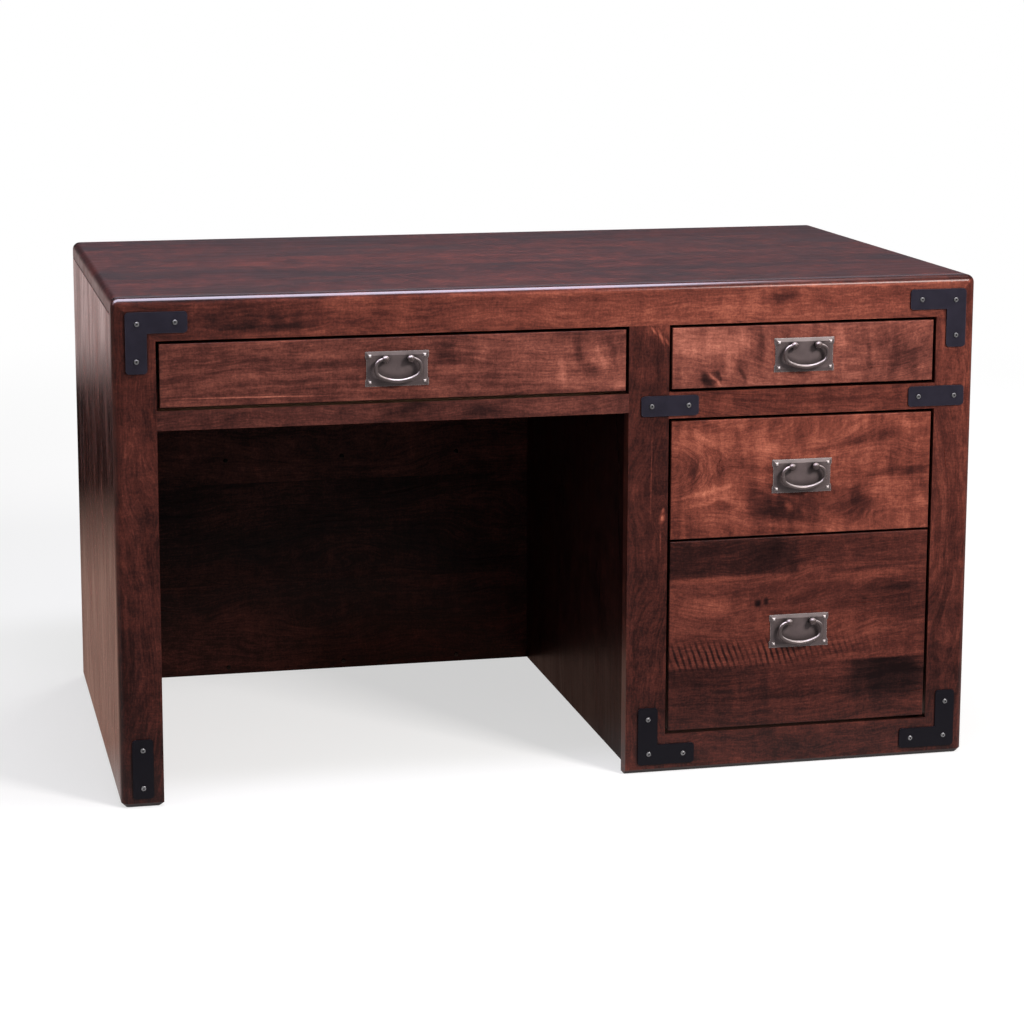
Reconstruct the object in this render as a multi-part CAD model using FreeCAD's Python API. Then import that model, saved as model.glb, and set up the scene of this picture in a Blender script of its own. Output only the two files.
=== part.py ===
import FreeCAD, Part
import math
import os

# A campaign desk: a worktop over one pedestal of three drawers, with a wide
# pencil drawer over the kneehole, bail pulls and blackened corner plates.
# Millimetres. The drawer fronts face -Y, +X runs along the desk to the pedestal
# end and +Z is up. The origin is on the floor, below the middle of the object.

V = FreeCAD.Vector

# Overall size of the case
desk_w = 1326.0
desk_d = 762.0
desk_h = 762.0

# Face frame
frame_t = 25.0
stile_w = 63.0
top_rail_h = 63.0
knee_rail_h = 29.0
middle_rail_h = 40.0
bottom_rail_h = 61.0
pedestal_open_w = 427.0
upper_open_h = 103.0
middle_front_h = 183.4
tenon_t = 9.0
tenon_l = 18.0
tenon_shoulder = 6.0

# Case boards and back
top_t = 24.0
end_t = 22.0
inner_panel_t = 19.0
inner_panel_setback = 15.0
back_panel_t = 19.0
back_frame_t = 25.0
back_rail_h = 60.0
back_stile_w = 60.0
back_recess = 10.0
edge_round = 12.0
foot_chamfer = 7.0
joint_vee = 2.2

# Drawers
reveal = 4.8
front_gap = 3.4
front_t = 20.0
front_ease = 1.5
box_inset = 10.4
side_t = 13.0
box_back_t = 13.0
bottom_t = 6.0
bottom_up = 10.0
groove_deep = 6.0
tongue_deep = 9.0
tongue_neck = 7.0
tongue_flare = 1.6
tail_pitch = 45.0
tail_share = 0.62
tail_flare = 1.8

# Slides and the packers that carry them
slide_t = 12.7
slide_h = 45.0
slide_setback = 6.0
slide_sheet = 1.5
slide_flange_t = 3.0
slide_gap = 0.3
slide_web_gap = 0.5
slide_flange_l = 9.0
packer_h = 60.0
box_tail_l = 10.0
drawer_back_clear = 72.0

# Pulls
plate_w = 95.5
plate_h = 52.0
plate_t = 3.0
plate_edge_t = 0.9
plate_bevel = 5.5
ear_h = 9.0
ear_step = 1.8
ear_slope = 3.0
stud_head = 7.0
stud_head_h = 2.2
stud_inset = 6.6
post_gap = 38.0
post_up = 15.6
post_out = 9.0
ball_r = 5.6
neck_r = 3.2
collar_r = 4.6
collar_t = 1.6
stud_r = 2.0
stud_clear = 0.2
nut_across = 7.0
nut_t = 3.2
stud_past_nut = 2.0
pin_r = 2.4
pin_clear = 0.5
pin_in = 4.0
bail_mid_r = 3.3
bail_half_w = 34.0
bail_drop = 33.0
bail_shoulder_r = 13.0
bail_corner_r = 13.0
bail_side_l = 1.5

# Black plates and screws
iron_l = 90.0
iron_w = 31.0
iron_t = 2.5
iron_corner_r = 5.0
iron_inset_left = 19.5
iron_inset_right = 16.5
iron_inset_top = 20.0
iron_inset_bottom = 14.5
iron_inset_foot = 17.0
iron_corner_screw = 17.0
iron_end_screw = 18.0
strap_end_screw = 16.0
screw_head_r = 3.7
screw_rim_h = 1.1
screw_crown_r = 2.5
screw_crown_h = 0.9
screw_socket_r = 1.6
screw_socket_deep = 1.3
screw_shank_r = 1.8
screw_clear = 0.05
frame_screw_l = 18.0
back_screw_l = 36.0
back_screw_low = 12.0
back_screw_x = 250.0
back_screw_pitch = 204.0
back_screw_columns = 3

# Planes of the case, worked out from the sizes above
pull_reach = plate_t + post_out + ball_r
x_left = -desk_w / 2
x_right = desk_w / 2
y_front = (pull_reach - desk_d) / 2
y_back = y_front + desk_d
y_frame = y_front + frame_t
y_back_rails = y_back - back_recess - back_frame_t
y_back_panel = y_back_rails - back_panel_t
x_knee_0 = x_left + stile_w
x_ped_1 = x_right - stile_w
x_ped_0 = x_ped_1 - pedestal_open_w
x_knee_1 = x_ped_0 - stile_w
x_inner_0 = x_knee_1 + inner_panel_setback
x_inner_1 = x_inner_0 + inner_panel_t
z_slab = desk_h - top_t
z_rail = desk_h - top_rail_h
z_upper = z_rail - upper_open_h
z_knee = z_upper - knee_rail_h
z_middle = z_upper - middle_rail_h
z_split = z_middle - reveal - middle_front_h
y_slide = y_front + front_t + slide_setback
slide_l = y_back_panel - drawer_back_clear - box_tail_l - y_slide


def box(x0, x1, y0, y1, z0, z1):
    return Part.makeBox(x1 - x0, y1 - y0, z1 - z0, V(x0, y0, z0))


def polygon(points):
    return Part.makePolygon(points + [points[0]])


def prism(points, along):
    return Part.Face(polygon(points)).extrude(along)


def one(shape):
    return shape.removeSplitter().Solids[0]


def save(name, *solids):
    shape = solids[0] if len(solids) == 1 else Part.makeCompound(list(solids))
    shape.exportStep(os.path.join("parts", name + ".step"))


def rod(centre, direction, radius, length):
    return Part.makeCylinder(radius, length, centre, direction)


def mirrored(shape, x):
    return shape.mirror(V(x, 0, 0), V(1, 0, 0))


def outer_form():
    """The whole case as one block, its long edges rounded and its foot chamfered: boards are trimmed to it."""
    block = box(x_left, x_right, y_front, y_back, 0, desk_h)
    upper = [e for e in block.Edges if max(v.Z for v in e.Vertexes) > desk_h / 2]
    block = block.makeFillet(edge_round, upper)
    lower = [e for e in block.Edges if max(v.Z for v in e.Vertexes) < foot_chamfer]
    return block.makeChamfer(foot_chamfer, lower)


def tenon(x0, x1, z0, z1):
    y_mid = y_front + frame_t / 2
    return box(x0, x1, y_mid - tenon_t / 2, y_mid + tenon_t / 2, z0, z1)


def frame_rail(x0, x1, z0, z1):
    rail = box(x0, x1, y_front, y_frame, z0, z1)
    tongue = tenon(x0 - tenon_l, x1 + tenon_l, z0 + tenon_shoulder, z1 - tenon_shoulder)
    return rail.fuse(tongue)


def face_frame():
    """Mitred top corners, tenoned rails; every joint is cut from the piece that fits into it."""
    deep = V(0, frame_t, 0)

    def at(x, z):
        return V(x, y_front, z)

    top_rail = prism([at(x_left, desk_h), at(x_right, desk_h), at(x_ped_1, z_rail), at(x_knee_0, z_rail)], deep)
    left = prism([at(x_left, 0), at(x_knee_0 - foot_chamfer, 0), at(x_knee_0, foot_chamfer), at(x_knee_0, z_rail),
                  at(x_left, desk_h)], deep)
    right = prism([at(x_right, 0), at(x_ped_1, 0), at(x_ped_1, z_rail), at(x_right, desk_h)], deep)
    knee = frame_rail(x_knee_0, x_knee_1, z_knee, z_upper)
    middle = frame_rail(x_ped_0, x_ped_1, z_middle, z_upper)
    bottom = frame_rail(x_ped_0, x_ped_1, 0, bottom_rail_h)
    centre = box(x_knee_1, x_ped_0, y_front, y_frame, 0, z_rail)
    centre = centre.fuse(tenon(x_knee_1 + tenon_shoulder, x_ped_0 - tenon_shoulder, z_rail, z_rail + tenon_l))
    return {
        "left_stile": left.cut(knee),
        "center_stile": centre.cut(Part.makeCompound([knee, middle, bottom])),
        "right_stile": right.cut(Part.makeCompound([middle, bottom])),
        "top_rail": top_rail.cut(centre),
        "knee_rail": knee,
        "middle_rail": middle,
        "bottom_rail": bottom,
    }


def end_panel(x_out, x_in):
    """Upright end board, its outer top edge chamfered so that the joint under the worktop shows as a line."""
    board = box(min(x_out, x_in), max(x_out, x_in), y_frame, y_back, 0, z_slab)
    lip = [e for e in board.Edges
           if all(v.Z > z_slab - joint_vee and abs(v.X - x_out) < joint_vee for v in e.Vertexes)]
    return board.makeChamfer(joint_vee, lip)


def case_boards():
    x_in_0 = x_left + end_t
    x_in_1 = x_right - end_t
    return {
        "top_panel": box(x_left, x_right, y_frame, y_back, z_slab, desk_h),
        "left_end_panel": end_panel(x_left, x_in_0),
        "right_end_panel": end_panel(x_right, x_in_1),
        "pedestal_inner_panel": box(x_inner_0, x_inner_1, y_frame, y_back_panel, 0, z_slab),
        "back_panel": box(x_in_0, x_in_1, y_back_panel, y_back_rails, 0, z_slab),
    }


def back_frame():
    x_0 = x_left + end_t
    x_1 = x_right - end_t
    y_0 = y_back_rails
    y_1 = y_back_rails + back_frame_t
    levels = [0, (desk_h - back_rail_h) / 2, z_slab - back_rail_h]
    rails = [box(x_0 + back_stile_w, x_1 - back_stile_w, y_0, y_1, z, z + back_rail_h) for z in levels]
    stiles = [box(x, x + back_stile_w, y_0, y_1, 0, z_slab) for x in (x_0, x_1 - back_stile_w)]
    return rails, stiles


# Black plates, each with the places of its screws
def iron_angle(x, z, right, up):
    """L bracket: legs of iron_l run right or left of x, and up or down from z."""
    dx = 1 if right else -1
    dz = 1 if up else -1
    x0, x1 = sorted([x, x + dx * iron_l])
    z0, z1 = sorted([z, z + dz * iron_w])
    flat = box(x0, x1, y_front - iron_t, y_front, z0, z1)
    x0, x1 = sorted([x, x + dx * iron_w])
    z0, z1 = sorted([z, z + dz * iron_l])
    tall = box(x0, x1, y_front - iron_t, y_front, z0, z1)
    plate = flat.fuse(tall).removeSplitter()
    inner = V(x + dx * iron_w, y_front, z + dz * iron_w)
    corners = []
    for e in plate.Edges:
        a, b = (v.Point for v in e.Vertexes)
        upright = abs(a.y - b.y) > iron_t / 2
        if upright and math.hypot(a.x - inner.x, a.z - inner.z) > iron_corner_r:
            corners.append(e)
    holes = [(x + dx * iron_corner_screw, z + dz * iron_corner_screw),
             (x + dx * (iron_l - iron_end_screw), z + dz * iron_w / 2),
             (x + dx * iron_w / 2, z + dz * (iron_l - iron_end_screw))]
    return plate.makeFillet(iron_corner_r, corners).Solids[0], holes


def iron_strap(x0, x1, z0, z1):
    strap = box(x0, x1, y_front - iron_t, y_front, z0, z1)
    corners = [e for e in strap.Edges if abs(e.Vertexes[0].Y - e.Vertexes[1].Y) > iron_t / 2]
    x_mid = (x0 + x1) / 2
    z_mid = (z0 + z1) / 2
    reach = iron_l / 2 - strap_end_screw
    step = (reach, 0) if x1 - x0 > z1 - z0 else (0, reach)
    holes = [(x_mid - step[0], z_mid - step[1]), (x_mid + step[0], z_mid + step[1])]
    return strap.makeFillet(iron_corner_r, corners), holes


def irons():
    """Brackets, straps and the places of their screws."""
    x_l = x_left + iron_inset_left
    x_r = x_right - iron_inset_right
    x_c = x_knee_1 + iron_inset_left
    x_f = x_left + iron_inset_foot
    z_t = desk_h - iron_inset_top
    z_b = iron_inset_bottom
    z_m = (z_middle + z_upper - iron_w) / 2
    angles = [iron_angle(x_l, z_t, True, False), iron_angle(x_r, z_t, False, False),
              iron_angle(x_c, z_b, True, True), iron_angle(x_r, z_b, False, True)]
    straps = [iron_strap(x_c, x_c + iron_l, z_m, z_m + iron_w),
              iron_strap(x_r - iron_l, x_r, z_m, z_m + iron_w),
              iron_strap(x_f, x_f + iron_w, z_b, z_b + iron_l)]
    places = [hole for _, holes in angles + straps for hole in holes]
    return [a for a, _ in angles], [s for s, _ in straps], places


def screw(x, y, z, length):
    """Dome-head screw with a hexagon socket, its head seated on the face at y and its shank running back."""
    profile = polygon([V(0, screw_rim_h + screw_crown_h, 0), V(screw_crown_r, screw_rim_h + screw_crown_h, 0),
                       V(screw_head_r, screw_rim_h, 0), V(screw_head_r, 0, 0), V(screw_shank_r, 0, 0),
                       V(screw_shank_r, -length + screw_shank_r, 0), V(0, -length, 0)])
    body = Part.Face(profile).revolve(V(0, 0, 0), V(0, 1, 0), 360)
    crown = screw_rim_h + screw_crown_h
    ring = [V(screw_socket_r * math.cos(a), crown, screw_socket_r * math.sin(a))
            for a in (math.radians(60 * i) for i in range(6))]
    body = body.cut(prism(ring, V(0, -screw_socket_deep, 0)))
    body.rotate(V(0, 0, 0), V(0, 0, 1), 180)
    body.translate(V(x, y, z))
    return one(body)


def screw_hole(x, y, z, length):
    return rod(V(x, y, z), V(0, 1, 0), screw_shank_r + screw_clear, length + screw_clear)


# Drawers
def drawers():
    """Name, opening sides and the front's lower and upper edge of each drawer."""
    return [("pencil", x_knee_0, x_knee_1, z_upper + reveal, z_rail - reveal),
            ("upper", x_ped_0, x_ped_1, z_upper + reveal, z_rail - reveal),
            ("middle", x_ped_0, x_ped_1, z_split, z_middle - reveal),
            ("file", x_ped_0, x_ped_1, bottom_rail_h + reveal, z_split - front_gap)]


def tongue(x, z0, z1):
    """Dovetail tongue on a side's front end, sliding up into its groove in the front from below."""
    y_0 = y_front + front_t
    neck = tongue_neck / 2
    wide = neck + tongue_flare
    points = [V(x - neck, y_0, z0), V(x - wide, y_0 - tongue_deep, z0),
              V(x + wide, y_0 - tongue_deep, z0), V(x + neck, y_0, z0)]
    return prism(points, V(0, 0, z1 - z0))


def tails(x0, x1, y_end, z0, z1):
    """Row of dovetails through a side's rear end, from its base line out to y_end."""
    count = max(2, round((z1 - z0) / tail_pitch))
    pitch = (z1 - z0) / count
    half = pitch * tail_share / 2
    made = []
    for i in range(count):
        z = z0 + pitch * (i + 0.5)
        points = [V(x0, y_end - box_back_t, z - half + tail_flare), V(x0, y_end, z - half),
                  V(x0, y_end, z + half), V(x0, y_end - box_back_t, z + half - tail_flare)]
        made.append(prism(points, V(x1 - x0, 0, 0)))
    return made


def drawer_box(x_open_0, x_open_1, z_front_0, z_front_1, post_holes):
    x_0 = x_open_0 + slide_t
    x_1 = x_open_1 - slide_t
    y_0 = y_front + front_t
    y_1 = y_0 + slide_setback + slide_l + box_tail_l
    z_0 = z_front_0 + box_inset
    z_1 = z_front_1 - box_inset
    z_floor = z_0 + bottom_up
    z_back = z_floor + bottom_t
    floor = box(x_0 + side_t - groove_deep, x_1 - side_t + groove_deep, y_0 - groove_deep, y_1, z_floor, z_back)
    front = box(x_open_0 + reveal, x_open_1 - reveal, y_front, y_0, z_front_0, z_front_1)
    face = [e for e in front.Edges if max(v.Y for v in e.Vertexes) < y_front + front_t / 2]
    front = front.makeFillet(front_ease, face).cut(floor)
    back = box(x_0, x_1, y_1 - box_back_t, y_1, z_back, z_1)
    sides = []
    for x_a, x_b in ((x_0, x_0 + side_t), (x_1 - side_t, x_1)):
        x_mid = (x_a + x_b) / 2
        row = tails(x_a, x_b, y_1, z_back, z_1)
        side = box(x_a, x_b, y_0, y_1, z_0, z_1)
        side = side.cut(box(x_a, x_b, y_1 - box_back_t, y_1, z_back, z_1))
        side = side.fuse(row + [tongue(x_mid, z_0, z_1)]).cut(floor)
        sides.append(one(side))
        front = front.cut(tongue(x_mid, z_front_0, z_1))
        back = back.cut(Part.makeCompound(row))
    front = front.cut(Part.makeCompound(post_holes))
    return one(front), sides[0], sides[1], one(back), floor


# Slides: three nested channels, given across the slide (u from the case, v from its middle)
def channel(u_web, u_lip, v_out):
    """Channel section with its web at u_web, its lips at u_lip and its flanges' outer faces at v_out."""
    turn = 1 if u_lip > u_web else -1
    u_in = u_web + turn * slide_sheet
    v_in = v_out - slide_flange_t
    return [(u_web, -v_out), (u_lip, -v_out), (u_lip, -v_in), (u_in, -v_in),
            (u_in, v_in), (u_lip, v_in), (u_lip, v_out), (u_web, v_out)]


def slide_sections():
    """Case, middle and drawer member: each nests in the one before with a running gap."""
    v_case = slide_h / 2
    v_middle = v_case - slide_flange_t - slide_gap
    v_drawer = v_middle - slide_flange_t - slide_gap
    u_middle = slide_sheet + slide_web_gap
    u_drawer = u_middle + slide_sheet + slide_web_gap
    case = channel(0, slide_flange_l, v_case)
    middle = channel(u_middle, u_middle + slide_flange_l, v_middle)
    drawer = channel(slide_t, u_drawer, v_drawer)
    return case, middle, drawer


def slide_member(section, x_face, inward, z_mid):
    points = [V(x_face + inward * u, y_slide, z_mid + v) for u, v in section]
    return prism(points, V(0, slide_l, 0))


def packer(x0, x1, z_mid):
    return box(x0, x1, y_frame, y_back_panel, z_mid - packer_h / 2, z_mid + packer_h / 2)


# Pulls, made about the middle of the plate's back face at the origin, then moved into place
def plate_ring(inset, y):
    """Plate outline with corner ears, drawn in by inset."""
    a = plate_w / 2 - inset
    b = plate_h / 2 - inset
    n = a - ear_step
    z_ear = plate_h / 2 - ear_h
    z_waist = z_ear - ear_slope
    right = [(a, b), (a, z_ear), (n, z_waist), (n, -z_waist), (a, -z_ear), (a, -b)]
    left = [(-x, -z) for x, z in right]
    return polygon([V(x, y, z) for x, z in right + left])


def pull_plate():
    slab = Part.Face(plate_ring(0, 0)).extrude(V(0, -plate_edge_t, 0))
    rise = Part.makeLoft([plate_ring(0, -plate_edge_t), plate_ring(plate_bevel, -plate_t)], True, True)
    plate = slab.fuse(rise)
    half = stud_head / 2
    for sx in (-1, 1):
        for sz in (-1, 1):
            x = sx * (plate_w / 2 - stud_inset)
            z = sz * (plate_h / 2 - stud_inset)
            base = polygon([V(x + i * half, -plate_edge_t, z + j * half)
                            for i, j in ((1, 1), (-1, 1), (-1, -1), (1, -1))])
            crown = plate_t + stud_head_h
            tip = polygon([V(x + i * half / 4, -crown, z + j * half / 4)
                           for i, j in ((1, 1), (-1, 1), (-1, -1), (1, -1))])
            plate = plate.fuse(Part.makeLoft([base, tip], True, True))
        plate = plate.cut(post_hole(sx))
    return one(plate)


def post_hole(side):
    """Clearance for a post's stud through the plate and the drawer front."""
    start = V(side * post_gap / 2, -plate_t, post_up)
    return rod(start, V(0, 1, 0), stud_r + stud_clear, plate_t + front_t)


def post(side):
    """Turned post: collar on the plate, waisted neck and ball head, on a stud that runs through the front."""
    y_ball = -plate_t - post_out
    y_neck = y_ball + math.sqrt(ball_r ** 2 - neck_r ** 2)
    y_collar = -plate_t - collar_t
    y_end = front_t + nut_t + stud_past_nut
    crown = V(0, y_ball - ball_r, 0)
    bulge = V(ball_r, y_ball, 0)
    ball = Part.Arc(crown, bulge, V(neck_r, y_neck, 0)).toShape()
    rest = [V(neck_r, y_neck, 0), V(neck_r, y_collar, 0), V(collar_r, y_collar, 0), V(collar_r, -plate_t, 0),
            V(stud_r, -plate_t, 0), V(stud_r, y_end, 0), V(0, y_end, 0), crown]
    turned = Part.Face(Part.Wire([ball] + Part.makePolygon(rest).Edges))
    turned = turned.revolve(V(0, 0, 0), V(0, 1, 0), 360)
    turned.translate(V(side * post_gap / 2, 0, post_up))
    mouth = V(side * (post_gap / 2 + ball_r), y_ball, post_up)
    bore = rod(mouth, V(-side, 0, 0), pin_r + pin_clear, ball_r + pin_in - ball_r / 2)
    return one(turned.cut(bore))


def nut(side):
    ring = [V(side * post_gap / 2 + nut_across / math.sqrt(3) * math.cos(a), front_t,
              post_up + nut_across / math.sqrt(3) * math.sin(a))
            for a in (math.radians(60 * i) for i in range(6))]
    hexagon = prism(ring, V(0, nut_t, 0))
    return hexagon.cut(rod(V(side * post_gap / 2, front_t, post_up), V(0, 1, 0), stud_r + screw_clear, nut_t))


def bail():
    """Oval bail: each half swells from its pin in the post to the middle of the grip."""
    y = -plate_t - post_out
    z = post_up
    x_pin = post_gap / 2 + ball_r - pin_in
    x_turn = bail_half_w - bail_shoulder_r
    z_side_0 = z - bail_shoulder_r
    z_side_1 = z_side_0 - bail_side_l
    z_low = z - bail_drop
    # The wide bottom arc is the one that meets the corner arc and the lowest point smoothly
    rise = z_side_1 - z_low
    run = bail_half_w - bail_corner_r
    grip_r = (run ** 2 + rise ** 2 - bail_corner_r ** 2) / (2 * (rise - bail_corner_r))
    corner = V(run, y, z_side_1)
    grip = V(0, y, z_low + grip_r)
    away = (corner - grip).normalize()
    meet = grip + away * grip_r
    half_turn = math.atan2(-away.z, away.x) / 2
    corner_mid = corner + V(math.cos(half_turn), 0, -math.sin(half_turn)) * bail_corner_r
    grip_mid = grip + (away + V(0, 0, -1)).normalize() * grip_r
    shoulder = V(x_turn, y, z_side_0)
    shoulder_mid = shoulder + V(math.sin(math.pi / 4), 0, math.cos(math.pi / 4)) * bail_shoulder_r
    path = Part.Wire([
        Part.LineSegment(V(x_pin, y, z), V(x_turn, y, z)).toShape(),
        Part.Arc(V(x_turn, y, z), shoulder_mid, V(bail_half_w, y, z_side_0)).toShape(),
        Part.LineSegment(V(bail_half_w, y, z_side_0), V(bail_half_w, y, z_side_1)).toShape(),
        Part.Arc(V(bail_half_w, y, z_side_1), corner_mid, meet).toShape(),
        Part.Arc(meet, grip_mid, V(0, y, z_low)).toShape()])
    thin = Part.Wire(Part.makeCircle(pin_r, V(x_pin, y, z), V(1, 0, 0)))
    thick = Part.Wire(Part.makeCircle(bail_mid_r, V(0, y, z_low), V(1, 0, 0)))
    shell = Part.BRepOffsetAPI.MakePipeShell(path)
    shell.add(thin)
    shell.add(thick)
    shell.build()
    shell.makeSolid()
    half = shell.shape()
    return one(half.fuse(mirrored(half, 0)))


def placed(shape, x, z):
    moved = shape.copy()
    moved.translate(V(x, y_front, z))
    return moved


def main():
    os.makedirs("parts", exist_ok=True)
    form = outer_form()

    brackets, straps, places = irons()
    frame_screws = [screw(x, y_front - iron_t, z, frame_screw_l) for x, z in places]
    holes = [screw_hole(x, y_front - iron_t, z, frame_screw_l) for x, z in places]
    for name, piece in face_frame().items():
        save(name, one(piece.common(form).cut(Part.makeCompound(holes))))
    save("corner_brackets", *[one(b.cut(Part.makeCompound(holes))) for b in brackets])
    save("straps", *[one(s.cut(Part.makeCompound(holes))) for s in straps])

    rails, stiles = back_frame()
    rows = [back_screw_low, desk_h / 2, z_slab - back_screw_low]
    columns = [x_left + back_screw_x + i * back_screw_pitch for i in range(back_screw_columns)]
    seats = [(x, z) for z in rows for x in columns]
    back_screws = [screw(x, y_back_panel, z, back_screw_l) for x, z in seats]
    back_holes = Part.makeCompound([screw_hole(x, y_back_panel, z, back_screw_l) for x, z in seats])
    for name, board in case_boards().items():
        save(name, one(board.common(form).cut(back_holes)))
    save("back_rails", *[one(r.cut(back_holes)) for r in rails])
    save("back_stiles", *stiles)
    save("screws", *frame_screws, *back_screws)

    case_section, middle_section, drawer_section = slide_sections()
    packers = []
    case_members = []
    plate, grip = pull_plate(), bail()
    posts = [post(-1), post(1), nut(-1), nut(1)]
    for name, x_0, x_1, z_0, z_1 in drawers():
        x_mid = (x_0 + x_1) / 2
        z_mid = (z_0 + z_1) / 2
        post_holes = [placed(post_hole(side), x_mid, z_mid) for side in (-1, 1)]
        front, left, right, back, floor = drawer_box(x_0, x_1, z_0, z_1, post_holes)
        save(name + "_front", front)
        save(name + "_left_side", left)
        save(name + "_right_side", right)
        save(name + "_back", back)
        save(name + "_bottom", floor)
        ends = ((x_0, 1), (x_1, -1))
        case_members += [slide_member(case_section, x, inward, z_mid) for x, inward in ends]
        save(name + "_slide_middles", *[slide_member(middle_section, x, inward, z_mid) for x, inward in ends])
        save(name + "_slide_drawer_members", *[slide_member(drawer_section, x, inward, z_mid) for x, inward in ends])
        wall_0 = x_left + end_t if name == "pencil" else x_inner_1
        wall_1 = x_inner_0 if name == "pencil" else x_right - end_t
        packers += [packer(wall_0, x_0, z_mid), packer(x_1, wall_1, z_mid)]
        save(name + "_pull_plate", placed(plate, x_mid, z_mid))
        save(name + "_pull_posts", *[placed(p, x_mid, z_mid) for p in posts])
        save(name + "_bail", placed(grip, x_mid, z_mid))
    save("slide_packers", *packers)
    save("slide_case_members", *case_members)


main()
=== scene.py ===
import math
import bpy
from mathutils import Euler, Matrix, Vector

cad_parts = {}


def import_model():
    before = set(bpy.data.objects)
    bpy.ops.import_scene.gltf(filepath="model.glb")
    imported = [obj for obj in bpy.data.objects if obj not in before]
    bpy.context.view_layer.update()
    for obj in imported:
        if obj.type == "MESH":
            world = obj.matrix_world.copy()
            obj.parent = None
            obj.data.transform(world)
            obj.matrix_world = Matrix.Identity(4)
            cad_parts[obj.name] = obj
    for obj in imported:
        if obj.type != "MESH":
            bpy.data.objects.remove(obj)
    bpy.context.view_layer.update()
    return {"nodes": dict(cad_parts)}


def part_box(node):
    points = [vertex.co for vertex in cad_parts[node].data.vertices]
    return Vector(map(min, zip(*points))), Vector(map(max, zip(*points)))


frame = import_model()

nodes = frame["nodes"]
DRAWERS = ("pencil", "upper", "middle", "file")

# Stained maple from its darkest to its lightest streaks
MAPLE = [(0.00, (0.008, 0.0034, 0.0036)),
         (0.20, (0.026, 0.0084, 0.0074)),
         (0.40, (0.076, 0.0190, 0.0140)),
         (0.60, (0.175, 0.0440, 0.0285)),
         (0.80, (0.340, 0.0980, 0.0610)),
         (1.00, (0.580, 0.2050, 0.1200))]

# The same with some grey mixed in: a painted sheen, such as a duller polish shows
SHEEN_GREY = 0.055
SHEENED_MAPLE = [(place, tuple((1.0 - SHEEN_GREY) * c + SHEEN_GREY * max(colour) for c in colour)) for place, colour in MAPLE]

# Clear maple of the drawer boxes
PALE = [(0.00, (0.160, 0.0800, 0.0360)),
        (0.35, (0.390, 0.2300, 0.1150)),
        (0.65, (0.540, 0.3600, 0.2000)),
        (1.00, (0.700, 0.5200, 0.3300))]

# Figure of the wood: repeats in a metre along the grain, across it and into the board
BEND = (2.4, 6.0, 6.0)
RIPPLE = (14.0, 30.0, 30.0)
SLIP = (22.0, 17.0, 17.0)
CLOUDS = (5.0, 12.0, 12.0)
SPOTS = (24.0, 40.0, 40.0)
BARS = (62.0, 13.0, 13.0)
STREAKS = (4.5, 95.0, 95.0)
FIBRES = (32.0, 330.0, 330.0)
WEAVE = (430.0, 80.0, 80.0)
SPECKS = (300.0, 380.0, 380.0)
PORES = (75.0, 640.0, 640.0)
PEEL = 260.0

# The middle stretch of a noise's values that a figure is spread from
NOISE_SPAN = (0.28, 0.72)

# Weave and specks, as shares of the fibre's strength
WEAVE_SHARE = 0.4
SPECK_SHARE = 0.9

# How far the grain ripples sideways and slips along, in metres, and how far patches and curl follow it
RIPPLE_SWAY = 0.0020
SLIP_REACH = 0.008
PATCH_SWAY = 0.35
CURL_SLIP = 0.25

# Glued-up boards: the step from one to the next in the timber, in metres, and how far their tones differ
BOARD_STEP = 0.37
BOARD_TONE = 0.05

# Marks: where an oval is full, a knot's core and hold on the grain, and how ragged a patch is, as shares
OVAL_FULL = 0.1
KNOT_CORE = 0.4
KNOT_HOLD = 0.60
RAGGED = 0.07

# Soft borders of staves and of patches that a joint cuts off, in metres
STAVE_SOFT_ALONG = 0.004
STAVE_SOFT_ACROSS = 0.003
CUT_SOFT = 0.002

# Curl: how sharp its stripes are, and the least share of them where the bars are darkest
CURL_SHARP = 3.0
CURL_BARS = (-1.0, 0.6)
CURL_LEAST = 0.35

# Pores, arrises lightened as rubbed wear and painted highlight, and painted shade near gaps: where they start
# and end, their reach in metres and what they do
PORE_SPAN = (0.64, 0.76)
PORE_TONE = 0.035
PORE_ROUGH = 0.08
ARRIS_SPAN = (0.99, 0.75)
ARRIS_R = 0.0018
ARRIS_SAMPLES = 4
ARRIS_WEAR_AND_HIGHLIGHT = 0.08
GAP_SHADE_SPAN = (0.80, 0.30)
GAP_SHADE_REACH = 0.007
GAP_SHADE_SAMPLES = 4
GAP_SHADE = 0.42

# Relief of the lacquer, in metres, and the parts that fibres and orange peel have in it
RELIEF = 0.0004
RELIEF_STRENGTH = 0.10
FIBRE_RELIEF = 0.25
PEEL_RELIEF = 0.5


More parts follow.
